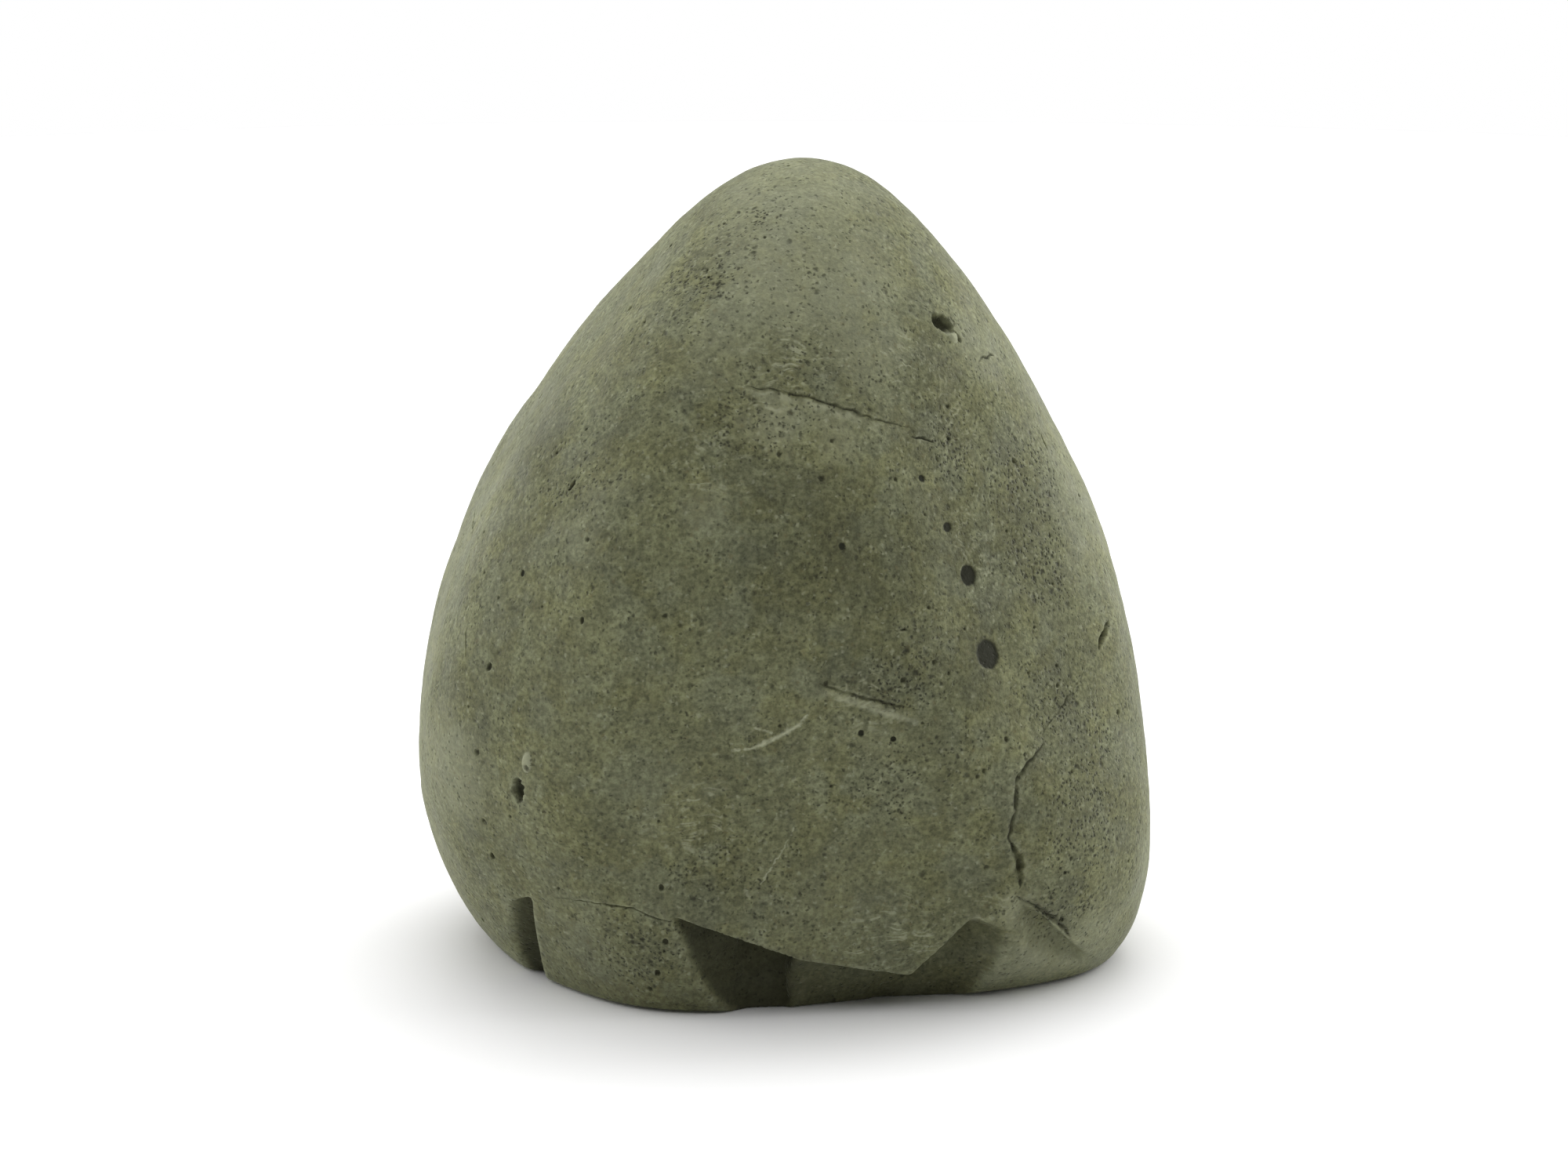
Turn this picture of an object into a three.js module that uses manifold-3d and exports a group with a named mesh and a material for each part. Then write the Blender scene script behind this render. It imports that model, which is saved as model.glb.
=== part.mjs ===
import * as THREE from 'three';
import { mergeVertices } from 'three/addons/utils/BufferGeometryUtils.js';
import Module from 'manifold-3d';

// A grey-green volcanic stone, worn smooth all round, that stands upright on a flat foot.
// Millimetres, +Z up. The front looks along -Y and the stone's right side, seen from there, is +X.
//
// Everything is laid out from the heart, a point inside the stone straight above the foot.
// A direction from the heart is [azimuth, tilt] in degrees: azimuth 0 is the front, 90 the right,
// 180 the back and -90 the left, and tilt is upwards. A plane is [azimuth, tilt, distance]: it lies
// across that direction, that many millimetres from the heart, and the stone is on the heart's side.

// ---- driving dimensions ----

const HEART_HEIGHT = 78.5;    // heart above the foot
const EDGE_SHARPNESS = 26;    // how tightly neighbouring facets meet: higher is sharper
const WEAR = 8;               // how widely, in degrees seen from the heart, wear has rounded the edges
const BALL_DETAIL = 17;       // how finely the ball that becomes the stone is divided
const SWELL = 0.45;           // height of the gentle waves that the weather left on the facets

// The broad worn facets that give the stone its shape.
const FACETS = {
  crown: [
    [0, 88, 134.5], [15, 74, 131], [120, 72, 135], [-100, 70, 125.5],
    [8, 58, 114.5], [84, 56, 118], [-80, 52, 117], [175, 55, 119.5],
  ],
  right: [
    [76, 36, 92.5], [90, 28, 86.5], [84, 18, 96.5], [92, 9, 88],
    [88, -4, 98.5], [84, -18, 116], [92, -36, 124.5],
  ],
  left: [
    [-76, 41, 88], [-86, 33, 84.5], [-84, 22, 84.5], [-90, 12, 88],
    [-84, 1, 90.5], [-88, -12, 100], [-78, -28, 125], [-88, -46, 109.5],
  ],
  front: [
    [-30, 48, 103], [36, 40, 94], [2, 30, 82], [-45, 24, 84.5], [44, 18, 72],
    [8, 12, 72], [-38, 4, 83.5], [46, 0, 92], [4, -8, 67.5],
  ],
  frontFoot: [[-58, -28, 96], [-38, -22, 88.5], [38, -22, 100.5], [34, -46, 105.5], [17, -47, 94]],
  back: [
    [145, 34, 88], [-150, 36, 87], [180, 16, 76.5], [136, 8, 84],
    [-136, 10, 88.5], [178, -10, 76.5], [140, -34, 95], [-146, -34, 94],
  ],
  belowFoot: [[0, -90, 92]],
};

// Places where a piece has broken away. Each is the space in front of all its planes.
const CHIPS = {
  shieldHollow: [[-139, -52.5, 21], [38, 2.5, 32], [5, 4, 44.5], [-73.5, -2, 15]],
  shieldUndercut: [[16.8, -24.1, 77], [-140, -65.4, 37.4], [90, -4, 4], [-54, 0, 3]],
  shieldFlank: [[99.5, -40.5, 62.5], [-17, -22, 54], [7, -22.3, 72.3], [-38, -65.4, 55.1]],
  leftFissure: [[-113, 8.5, 29], [-8.5, -35.5, 72], [101, -55, 3]],
  rightLedge: [[-77, -45.5, 3.5], [40.5, -12.5, 88.5]],
  backSpall: [[170, -72, 4], [166, -21, 77]],
  backNick: [[-158, -32, 82], [-62, -28, 53], [52, -58, 3]],
};

// Cracks: the directions that each one runs through, its width at the surface and its depth.
const CRACKS = {
  brow: {
    path: [[-8.5, 55.5], [-1, 55.5], [4, 55], [9, 54.5], [14, 53.5], [21, 52], [28, 50.5], [35, 49.5]],
    width: 1.3, depth: 1.2,
  },
  rightSeam: {
    path: [[52, -8], [48.5, -10], [46, -11.5], [44.5, -13.5], [44.5, -18], [43.5, -21], [43.5, -23.5]],
    width: 1.8, depth: 1.8,
  },
  rightWedge: {
    path: [[44, -23], [44.8, -24.5], [45.5, -27], [46, -29.5]],
    width: 2.6, depth: 2.2,
  },
  shieldSeam: {
    path: [[-45, -33], [-39, -33], [-35, -33.5], [-29, -34.5], [-24.5, -36.5], [-21.5, -37.5]],
    width: 1.2, depth: 1.2,
  },
  rightSlit: {
    path: [[75.5, 8], [72.5, 6], [70, 4]],
    width: 2.2, depth: 2.4,
  },
  backSeam: {
    path: [[148, 44], [155, 37], [158, 29], [165, 22], [166, 14]],
    width: 1.6, depth: 1.6,
  },
};

// Small hollows: direction, length and breadth at the surface, depth, and the lean of the long
// axis away from upright, clockwise as seen from outside.
const PITS = {
  crownPit: { at: [57, 61.5], length: 6.4, breadth: 3.2, depth: 2.6, lean: 125 },
  leftPit: { at: [-47.5, -14], length: 5.4, breadth: 3.0, depth: 2.6, lean: 8 },
  upperOval: { at: [43, 24], length: 5.4, breadth: 4.2, depth: 0.7, lean: 0 },
  lowerOval: { at: [43.5, 9], length: 7.6, breadth: 5.6, depth: 0.7, lean: 0 },
  backPit: { at: [-163, 30], length: 6.0, breadth: 3.6, depth: 2.4, lean: 60 },
  sidePit: { at: [118, -4], length: 5.0, breadth: 3.4, depth: 2.2, lean: 20 },
};

const STONE_COLOUR = 0x696a54;
const STONE_ROUGHNESS = 0.9;

const CUTTER_SIZE = 400;      // edge of the block that stands for the space beyond a plane
const CUTTER_RISE = 2;        // how far a crack's cutter stands proud of the surface

// ---- the surface ----

const wasm = await Module();
wasm.setup();

function direction([azimuth, tilt]) {
  const a = THREE.MathUtils.degToRad(azimuth);
  const t = THREE.MathUtils.degToRad(tilt);
  return new THREE.Vector3(Math.sin(a) * Math.cos(t), -Math.cos(a) * Math.cos(t), Math.sin(t));
}

const facetPlanes = Object.values(FACETS).flat().map((facet) => {
  return { normal: direction(facet), distance: facet[2] };
});

// Distance from the heart to the facets in a direction.
function facetRadius(d) {
  let sum = 0;
  for (const { normal, distance } of facetPlanes) {
    sum += Math.max(normal.dot(d) / distance * HEART_HEIGHT, 0) ** EDGE_SHARPNESS;
  }
  return HEART_HEIGHT * sum ** (-1 / EDGE_SHARPNESS);
}

// Two directions square to a given one and to each other.
function crossways(d) {
  const up = Math.abs(d.z) < 0.9 ? new THREE.Vector3(0, 0, 1) : new THREE.Vector3(1, 0, 0);
  const right = up.cross(d).normalize();
  return [right, d.clone().cross(right)];
}

// The facets averaged over a cone of directions, which rounds off the edges between them.
function wornRadius(d) {
  const wear = THREE.MathUtils.degToRad(WEAR);
  const [right, up] = crossways(d);
  let sum = facetRadius(d);
  for (let k = 0; k < 6; k++) {
    const turn = k * Math.PI / 3;
    const aside = d.clone().multiplyScalar(Math.cos(wear))
      .addScaledVector(right, Math.cos(turn) * Math.sin(wear))
      .addScaledVector(up, Math.sin(turn) * Math.sin(wear));
    sum += facetRadius(aside);
  }
  return sum / 7;
}

// Distance from the heart to the stone's surface in a direction, before anything broke away.
function surfaceRadius(d) {
  const wave = Math.sin(5 * d.x + 2 * d.z + 0.4) * Math.cos(6 * d.y - 3 * d.z)
    + 0.6 * Math.sin(11 * d.x - 4 * d.y + 1.7) * Math.sin(9 * d.z + 0.6);
  return wornRadius(d) + SWELL * wave;
}

// ---- solids ----

function solidFrom(geometry) {
  geometry.deleteAttribute('normal');
  geometry.deleteAttribute('uv');
  const merged = mergeVertices(geometry, 1e-4);
  return new wasm.Manifold(new wasm.Mesh({
    numProp: 3,
    vertProperties: new Float32Array(merged.attributes.position.array),
    triVerts: new Uint32Array(merged.index.array),
  }));
}

function geometryFrom(solid) {
  const mesh = solid.getMesh();
  const geometry = new THREE.BufferGeometry();
  geometry.setAttribute('position', new THREE.BufferAttribute(mesh.vertProperties, 3));
  geometry.setIndex(new THREE.BufferAttribute(mesh.triVerts, 1));
  return geometry;
}

// The space beyond a plane, as a block whose near face lies on the plane.
function beyond(plane) {
  const block = new THREE.BoxGeometry(CUTTER_SIZE, CUTTER_SIZE, CUTTER_SIZE);
  const normal = direction(plane);
  const turn = new THREE.Quaternion().setFromUnitVectors(new THREE.Vector3(0, 0, 1), normal);
  const centre = normal.multiplyScalar(plane[2] + CUTTER_SIZE / 2);
  block.applyMatrix4(new THREE.Matrix4().compose(centre, turn, new THREE.Vector3(1, 1, 1)));
  return solidFrom(block);
}

function chipCutter(planes) {
  return planes.map(beyond).reduce((space, next) => space.intersect(next));
}

// A three-sided bar bent along a crack, with its sharp edge inside the stone.
function crackCutter({ path, width, depth }) {
  const last = path.length - 1;
  const bar = new THREE.CylinderGeometry(1, 1, 1, 3, last);
  const outward = path.map(direction);
  const rings = outward.map((out, k) => {
    const along = outward[Math.min(k + 1, last)].clone().sub(outward[Math.max(k - 1, 0)]);
    const side = along.cross(out).normalize();
    const taper = k === 0 || k === last ? 0.35 : 1;
    const radius = surfaceRadius(out);
    const spread = taper * width / 2 * (1 + CUTTER_RISE / (depth * taper));
    const top = out.clone().multiplyScalar(radius + CUTTER_RISE);
    return [
      out.clone().multiplyScalar(radius - depth * taper),
      top.clone().addScaledVector(side, spread),
      top.clone().addScaledVector(side, -spread),
    ];
  });
  const spot = bar.attributes.position;
  for (let i = 0; i < spot.count; i++) {
    const ring = rings[Math.round((0.5 - spot.getY(i)) * last)];
    const onAxis = Math.hypot(spot.getX(i), spot.getZ(i)) < 0.5;
    const corner = Math.round(Math.atan2(spot.getX(i), spot.getZ(i)) / (2 * Math.PI / 3) + 3) % 3;
    const middle = ring[0].clone().add(ring[1]).add(ring[2]).divideScalar(3);
    const p = onAxis ? middle : ring[corner];
    spot.setXYZ(i, p.x, p.y, p.z);
  }
  return solidFrom(bar);
}

// An egg-shaped cutter half sunk in the surface.
function pitCutter({ at, length, breadth, depth, lean }) {
  const out = direction(at);
  const egg = new THREE.SphereGeometry(1, 14, 9);
  egg.scale(breadth / 2, length / 2, depth);
  egg.rotateZ(-THREE.MathUtils.degToRad(lean));
  const [right, up] = crossways(out);
  egg.applyMatrix4(new THREE.Matrix4().makeBasis(right, up, out));
  const seat = out.multiplyScalar(surfaceRadius(out));
  egg.translate(seat.x, seat.y, seat.z);
  return solidFrom(egg);
}

function wornBall() {
  const ball = new THREE.IcosahedronGeometry(1, BALL_DETAIL);
  const spot = ball.attributes.position;
  const d = new THREE.Vector3();
  for (let i = 0; i < spot.count; i++) {
    d.fromBufferAttribute(spot, i).normalize();
    d.multiplyScalar(surfaceRadius(d));
    spot.setXYZ(i, d.x, d.y, d.z);
  }
  return solidFrom(ball);
}

function stoneGeometry() {
  const cutters = [
    beyond([0, -90, HEART_HEIGHT]),
    ...Object.values(CHIPS).map(chipCutter),
    ...Object.values(CRACKS).map(crackCutter),
    ...Object.values(PITS).map(pitCutter),
  ];
  const solid = cutters.reduce((stone, cutter) => stone.subtract(cutter), wornBall());
  const geometry = geometryFrom(solid);
  geometry.computeBoundingBox();
  const box = geometry.boundingBox;
  geometry.translate(-(box.min.x + box.max.x) / 2, -(box.min.y + box.max.y) / 2, -box.min.z);
  geometry.computeVertexNormals();
  return geometry;
}

// ---- the part ----

const stone = new THREE.Mesh(stoneGeometry(), new THREE.MeshStandardMaterial({
  color: STONE_COLOUR, roughness: STONE_ROUGHNESS, metalness: 0,
}));
stone.name = 'stone';

const group = new THREE.Group();
group.add(stone);

export default group;
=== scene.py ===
"""A worn, grey-green volcanic stone, standing on a pale floor.

The stone is laid out from its heart, a point inside it straight above the foot, in millimetres.
A direction from the heart is [azimuth, tilt] in degrees: azimuth 0 is the front (-Y), 90 the right
(+X), 180 the back and -90 the left, and tilt is upwards. A plane is [azimuth, tilt, distance].
The mesh itself is in metres, in the frame's coordinates.
"""

import math
from collections import namedtuple
from itertools import combinations, product

import bpy
import numpy as np
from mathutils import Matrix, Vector


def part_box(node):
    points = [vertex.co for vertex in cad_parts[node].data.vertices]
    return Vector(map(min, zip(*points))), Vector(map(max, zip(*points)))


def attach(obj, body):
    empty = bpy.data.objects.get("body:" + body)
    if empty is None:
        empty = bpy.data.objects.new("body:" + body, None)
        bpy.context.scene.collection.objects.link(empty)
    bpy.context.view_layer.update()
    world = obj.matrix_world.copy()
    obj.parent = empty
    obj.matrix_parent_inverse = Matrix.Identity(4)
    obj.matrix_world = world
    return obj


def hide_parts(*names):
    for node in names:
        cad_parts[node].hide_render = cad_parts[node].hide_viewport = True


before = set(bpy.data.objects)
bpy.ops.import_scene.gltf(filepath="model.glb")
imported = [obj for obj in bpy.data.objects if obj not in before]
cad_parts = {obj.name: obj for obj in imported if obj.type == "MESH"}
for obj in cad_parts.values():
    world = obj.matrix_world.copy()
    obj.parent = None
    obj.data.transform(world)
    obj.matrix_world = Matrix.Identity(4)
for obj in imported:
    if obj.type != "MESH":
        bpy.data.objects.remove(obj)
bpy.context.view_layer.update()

MM = 0.001

# ---- the stone's form, in millimetres and degrees ----

HEART_HEIGHT = 78.5      # heart above the foot
EDGE_SHARPNESS = 26      # how tightly neighbouring facets meet: higher is sharper
WEAR = 8                 # how widely, in degrees seen from the heart, wear has rounded the edges
SWELL = 0.45             # height of the gentle waves that the weather left on the facets
LIP_ROUNDING = 0.9       # rounding of the edges where a piece broke away
FLOOR_ROUNDING = 1.6     # rounding of the inside corners of a broken place
FOOT_ROUNDING = 2.0      # rounding of the edge of the foot

FACETS = {
    "crown": [
        [0, 88, 134.5], [15, 74, 131], [120, 72, 135], [-100, 70, 125.5],
        [8, 58, 114.5], [84, 56, 118], [-80, 52, 117], [175, 55, 119.5],
    ],
    "right": [
        [76, 36, 92.5], [90, 28, 86.5], [84, 18, 96.5], [92, 9, 88],
        [88, -4, 98.5], [84, -18, 116], [92, -36, 124.5],
    ],
    "left": [
        [-76, 41, 88], [-86, 33, 84.5], [-84, 22, 84.5], [-90, 12, 88],
        [-84, 1, 90.5], [-88, -12, 100], [-78, -28, 125], [-88, -46, 109.5],
    ],
    "front": [
        [-30, 48, 103], [36, 40, 94], [2, 30, 82], [-45, 24, 84.5], [44, 18, 72],
        [8, 12, 72], [-38, 4, 83.5], [46, 0, 92], [4, -8, 67.5],
    ],
    "front foot": [
        [-58, -28, 96], [-38, -22, 88.5], [38, -22, 100.5], [34, -46, 105.5], [17, -47, 94],
    ],
    "back": [
        [145, 34, 88], [-150, 36, 87], [180, 16, 76.5], [136, 8, 84],
        [-136, 10, 88.5], [178, -10, 76.5], [140, -34, 95], [-146, -34, 94],
    ],
    "below the foot": [[0, -90, 92]],
}

# Places where a piece has broken away. Each is the space in front of all its planes.
CHIPS = {
    "shield hollow": [[-139, -52.5, 21], [38, 2.5, 32], [5, 4, 44.5], [-73.5, -2, 15]],
    "shield undercut": [[16.8, -24.1, 77], [-140, -65.4, 37.4], [90, -4, 4], [-54, 0, 3]],
    "shield flank": [[99.5, -40.5, 62.5], [-17, -22, 54], [7, -22.3, 72.3], [-38, -65.4, 55.1]],
    "left fissure": [[-113, 8.5, 29], [-8.5, -35.5, 72], [101, -55, 3]],
    "right ledge": [[-77, -45.5, 3.5], [40.5, -12.5, 88.5]],
    "back spall": [[170, -72, 4], [166, -21, 77]],
    "back nick": [[-158, -32, 82], [-62, -28, 53], [52, -58, 3]],
}
# How dark each broken face is painted, from 0 to 1: partly dirt, and partly painted shade, darkest
# in the deep recesses of the shield hollow and the left fissure.
CHIP_GRIME_AND_SHADE = {
    "shield hollow": 1.0, "shield undercut": 0.65, "shield flank": 0.55, "left fissure": 1.0,
    "right ledge": 0.25, "back spall": 0.25, "back nick": 0.5,
}

# A crack's path is the directions that it runs through. The step is how far the ground on its
# left, going along it, stands above the ground on its right. The lip is how pale the ground is on
# the right, and the ledge shadow how dark the ground on the left is painted: a painted shadow
# beside the crack.
Crack = namedtuple("Crack", "path width depth step lip soil", defaults=(0, 0, 0))

CRACKS = [
    Crack([[-8.5, 55.5], [-1, 55.5], [4, 55], [9, 54.5], [14, 53.5], [21, 52], [28, 50.5],
           [35, 49.5]], 0.65, 0.42, 0.5, lip=1.6),
    Crack([[34.1, 48.2], [37.5, 47.9], [40.6, 47.1]], 0.8, 0.6, 0.1),
    Crack([[40.8, 45.2], [41.3, 44]], 0.8, 0.6, 0.1),
    Crack([[51.8, -8], [48.3, -10.2], [46, -11.4], [44.6, -13.2], [44.5, -15.5],
           [44.1, -18.2], [43.4, -20.9], [43.6, -23.4]], 1.7, 0.95, -0.9, soil=0.5),
    Crack([[43.6, -22.8], [44.8, -24.4], [45.6, -26.8], [46, -29.4]], 2.3, 2.0, -0.4),
    Crack([[-45, -33], [-39, -33], [-35, -33.5], [-29, -34.5], [-24.5, -36.5],
           [-21.5, -37.5]], 0.8, 0.7, 0.5),
    Crack([[45.8, -30.9], [50.5, -32.6], [55.2, -34.8], [58.4, -36.7]], 2.0, 1.1, 0.3,
           soil=0.6),
    Crack([[75.6, 7.7], [72.7, 6], [70.2, 4.2]], 1.9, 2.2),
    Crack([[66.3, 1.9], [59.5, -2.3], [51.7, -6.8]], 0.6, 0.3, 0.1),
    Crack([[7.7, 6.9], [13.6, 4.8], [18.9, 3.1], [26.9, 0.9]], 1.0, 0.5, 0.25, lip=1.0),
    Crack([[78.1, 40.8], [77.8, 38]], 0.9, 0.7),
    Crack([[64.9, 55], [69, 54.9], [73.5, 54.4]], 0.8, 0.5),
    Crack([[60.4, 60], [61, 58.2]], 1.2, 1.0),
    Crack([[22.9, 16.1], [25.7, 15.8]], 0.7, 0.5),
    Crack([[-77.7, 22.9], [-84, 23.8], [-91, 25]], 0.8, 0.6),
    Crack([[-61.8, 9.5], [-59.5, 5.1]], 0.7, 0.5),
    Crack([[148, 44], [155, 37], [158, 29], [165, 22], [166, 14]], 1.3, 1.2, 0.4),
    Crack([[-125, -6], [-131, -9], [-138, -9], [-146, -13]], 1.0, 0.8, 0.3),
    Crack([[112, 30], [118, 25], [120, 18]], 0.8, 0.6, 0.2),
]

# A spot's direction, its length and breadth at the surface, its depth, and the lean of its long
# axis away from upright, clockwise as seen from outside.
Spot = namedtuple("Spot", "at length breadth depth lean")


def spots(*rows):
    return [Spot(*row) for row in rows]


# Small hollows.
PITS = spots(
    ([57, 61.5], 7.0, 4.2, 2.6, 125), ([-47.5, -14], 6.2, 3.8, 2.6, 8),
    ([-163, 30], 6.0, 3.6, 2.2, 60), ([118, -4], 5.0, 3.4, 2.0, 20),
    ([-53.7, 5.2], 2.4, 1.6, 0.8, 30), ([-44.7, 36.8], 3.4, 1.2, 0.7, 25),
    ([-35.2, 16], 1.8, 1.3, 0.7, 0), ([-57.9, -27], 2.0, 1.5, 0.8, 0),
    ([-26.2, -45.3], 1.8, 1.5, 0.8, 0), ([-23.6, -40.4], 1.6, 1.4, 0.7, 0),
    ([-23.2, -31.3], 1.7, 1.3, 0.7, 0),
)

# Harder grains that stand proud, with the depth as a height.
PEBBLES = spots(
    ([-44.8, -8.9], 5.4, 2.9, 0.7, 12), ([58.6, 59.5], 3.4, 2.8, 0.8, 150),
    ([124, 2], 3.0, 2.4, 0.6, 40),
)

# Filled gas bubbles: smooth, dark, flat spots a little below the surface.
INLAYS = spots(
    ([35.1, 42], 1.8, 2.1, 0.3, 0), ([39.9, 33.4], 2.5, 2.9, 0.3, 0),
    ([42.9, 24.1], 5.4, 5.3, 0.35, 0), ([43.6, 8.9], 7.6, 7.0, 0.35, 0),
    ([13.4, 31.8], 1.9, 1.8, 0.2, 0), ([-50.8, 21.2], 1.7, 1.4, 0.3, 0),
    ([16.3, -3.4], 1.7, 1.5, 0.2, 0), ([22.4, -4.7], 1.5, 1.4, 0.2, 0),
    ([-112, 14], 3.4, 2.8, 0.4, 0), ([152, -2], 4.6, 3.4, 0.5, 15),
    ([-168, 8], 2.4, 2.0, 0.4, 0),
)

VESICLE_SEED = 11
VESICLES = 150                # open gas bubbles big enough to have a shape of their own
VESICLE_SIZE = (0.42, 0.85)   # their smallest and largest radius
VESICLE_SMALLNESS = 2.2       # how much commoner the small ones are: 1 is not at all
VESICLE_LOWEST = -0.75        # none lies below this, as the sine of the tilt
VESICLE_CROWDING = 0.5        # how tightly they keep to the patches

# Where gas bubbles and pinholes crowd: direction, radius of the patch and how crowded, up to 1.
PITTED = [
    ([-20, 77], 14, 0.5), ([-28, 69], 14, 0.7), ([-40, 62], 9, 0.4), ([66, 36], 15, 0.9),
    ([63, 22], 14, 0.9), ([45, 46], 10, 0.8), ([56, -3], 12, 0.8), ([58, -20], 15, 0.9),
    ([64, -9], 12, 0.8), ([54, -32], 12, 0.8), ([23, 7], 10, 1.0), ([33, -8], 10, 0.5),
    ([22, -14], 12, 0.5), ([11, 57], 16, 0.45), ([-9, 50], 12, 0.5), ([-44, 38], 12, 0.6),
    ([-30, -42], 13, 0.8), ([-14, -31], 12, 0.5), ([2, -37], 14, 0.4), ([30, 14], 10, 0.5),
    ([-140, 24], 18, 0.9), ([160, 50], 15, 0.8), ([105, 16], 15, 0.8), ([-95, -16], 15, 0.8),
    ([150, -24], 16, 0.9), ([-168, -8], 13, 0.6), ([-100, 40], 13, 0.7), ([120, -35], 14, 0.7),
    ([175, 20], 12, 0.5),
]

# Where the surface has been scuffed into bundles of fine, pale, level strokes: the same values.
SCUFFED = [
    ([-15, 44], 10, 0.6), ([40, 58], 11, 0.7), ([15.6, 3.1], 9, 0.6), ([25, -43], 14, 0.8),
    ([-17, -21], 12, 0.6), ([46, 23.5], 9, 0.8), ([48, 49], 10, 0.8), ([3, 60], 11, 0.7),
    ([40.5, -33], 8, 0.45), ([-4, 53.5], 6, 0.9), ([45, 32], 8, 0.6), ([170, 20], 14, 0.8),
    ([-130, -14], 13, 0.7), ([-110, 50], 12, 0.6), ([100, 44], 12, 0.7), ([140, 6], 12, 0.8),
]

# Broad stains and painted light: direction, radius, and how much darker (below 0) or paler (above
# 0) they are. Besides real stains, the pale patches on the crown and the flanks are painted
# highlights where light from above and the sides falls, the dark ones on the middle of the front
# are painted shade, and the pale ones low on the foot are painted light.
STAINS_AND_PAINTED_LIGHT = [
    ([3, 71], 20, 0.55), ([26, 62], 15, 0.35), ([-14, 63], 13, 0.30), ([14, 82], 24, 0.50),
    ([28, 70], 16, 0.50), ([0, 50.5], 9, 0.46), ([-17, 57], 10, 0.15), ([-13, 36], 9, 0.34),
    ([2, 34], 24, -0.24), ([20, 30], 18, -0.22), ([-16, 50], 8, -0.08), ([-27, 70], 10, -0.08),
    ([-68, 44], 18, -0.30), ([20, 10], 17, -0.16), ([-5, -24], 20, -0.05), ([-29, 50], 9, -0.10),
    ([-39, 29], 9, 0.22), ([40, 47], 10, -0.20), ([38, 6], 11, -0.25), ([46, 14], 10, -0.25),
    ([47, 28], 10, -0.20), ([20, -5], 9, 0.10), ([-20, -16], 14, 0.10), ([-52, -18], 12, 0.10),
    ([-64, -13], 17, 0.50), ([-30, -40], 9, -0.10), ([84, 26], 26, 0.25), ([-84, -20], 26, 0.20),
    ([75, -30], 14, 0.20), ([64, -38], 16, 0.40), ([8, -42], 24, 0.12), ([-42, -42], 20, 0.15),
    ([-165, 30], 24, -0.16), ([140, -8], 22, -0.14), ([178, 62], 18, 0.30), ([110, 45], 16, -0.1),
    ([14, 49], 8, 0.28), ([-37, 37], 7, 0.18), ([45, 38], 10, -0.20), ([46, -33], 7, 0.42),
    ([-72, 14], 12, -0.12), ([70, 57], 13, 0.30), ([62, 2], 12, -0.16), ([57, 30], 10, -0.14),
    ([56, -42], 16, 0.50), ([-120, 10], 18, -0.12), ([165, -36], 16, 0.15),
]

# Dirt and painted shade in the deepest corners of the broken-away places: the same values.
SOILED_AND_SHADED = [
    ([-3.5, -50], 15, 0.9), ([8, -47], 12, 0.85), ([20, -47], 12, 0.7), ([32, -42], 12, 0.8),
    ([-36, -47], 10, 0.95),
]

# ---- mesh resolution ----

COARSE_EDGE = 2.52       # longest mesh edge anywhere
CHIP_EDGE = 1.4          # longest mesh edge on a broken face
LIP_EDGE = 1.0           # longest mesh edge round a broken face
LIP_BAND = 0.3           # how far the fine mesh round a broken face reaches
FINE_EDGE = 0.45         # longest mesh edge in a crack or pit
CRACK_EDGE = 0.4         # the same, as a share of a crack's width
SPOT_EDGE = 0.22         # and of the breadth of a pit, pebble or filled bubble
VESICLE_EDGE = 0.55      # and of the radius of an open bubble
GRADING = 0.8            # how fast the mesh may coarsen away from them
START_ROUNDS = 5         # how often the first, even mesh is halved
START_RADIUS = 100       # the size at which it is halved
REFINE_ROUNDS = 7        # the most that the mesh is then refined


# ---- directions, noise and smooth joins ----

def unit(v):
    return v / np.linalg.norm(v, axis=-1, keepdims=True)


def heading(angles):
    """Unit vectors for [azimuth, tilt, ...] in degrees."""
    a, t = np.moveaxis(np.radians(np.asarray(angles, float)[..., :2]), -1, 0)
    return np.stack([np.sin(a) * np.cos(t), -np.cos(a) * np.cos(t), np.sin(t)], -1)


def crossways(d):
    """Two directions square to each given one: to the right and up, as seen from outside."""
    up = np.where(np.abs(d[..., 2:]) < 0.9, [0.0, 0.0, 1.0], [1.0, 0.0, 0.0])
    right = unit(np.cross(up, d))
    return right, np.cross(d, right)


def smoothstep(low, high, x):
    t = np.clip((x - low) / (high - low), 0, 1)
    return t * t * (3 - 2 * t)


def smooth_max(a, b, k):
    h = np.clip(0.5 + 0.5 * (a - b) / k, 0, 1)
    return b + (a - b) * h + k * h * (1 - h)


def smooth_min(a, b, k):
    return -smooth_max(-a, -b, k)


HASH_PRIMES = np.array([374761393, 668265263, 2147483647])
HASH_SEED = 974634777
HASH_MIXER = 1274126177
NOISE_GAIN = 1.4         # brings the noise to about -1 to 1
OCTAVE_OFFSET = 31.7     # keeps the octaves from lining up


def lattice_noise(p, seed):
    """Gradient noise, about -1 to 1, with one lump to a unit."""
    cell = np.floor(p).astype(np.int64)
    f = p - cell
    ease = f * f * f * (f * (f * 6 - 15) + 10)
    total = np.zeros(len(p))
    for corner in product((0, 1), repeat=3):
        h = (cell + corner) @ HASH_PRIMES + seed * HASH_SEED
        h = (h ^ (h >> 13)) * HASH_MIXER
        h = (h ^ (h >> 16)) & 0xFFFFFF
        slope = np.stack([h & 255, (h >> 8) & 255, (h >> 16) & 255], 1) / 127.5 - 1
        weight = np.prod(np.where(corner, ease, 1 - ease), 1)
        total += weight * np.sum(slope * (f - corner), 1)
    return total * NOISE_GAIN


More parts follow.
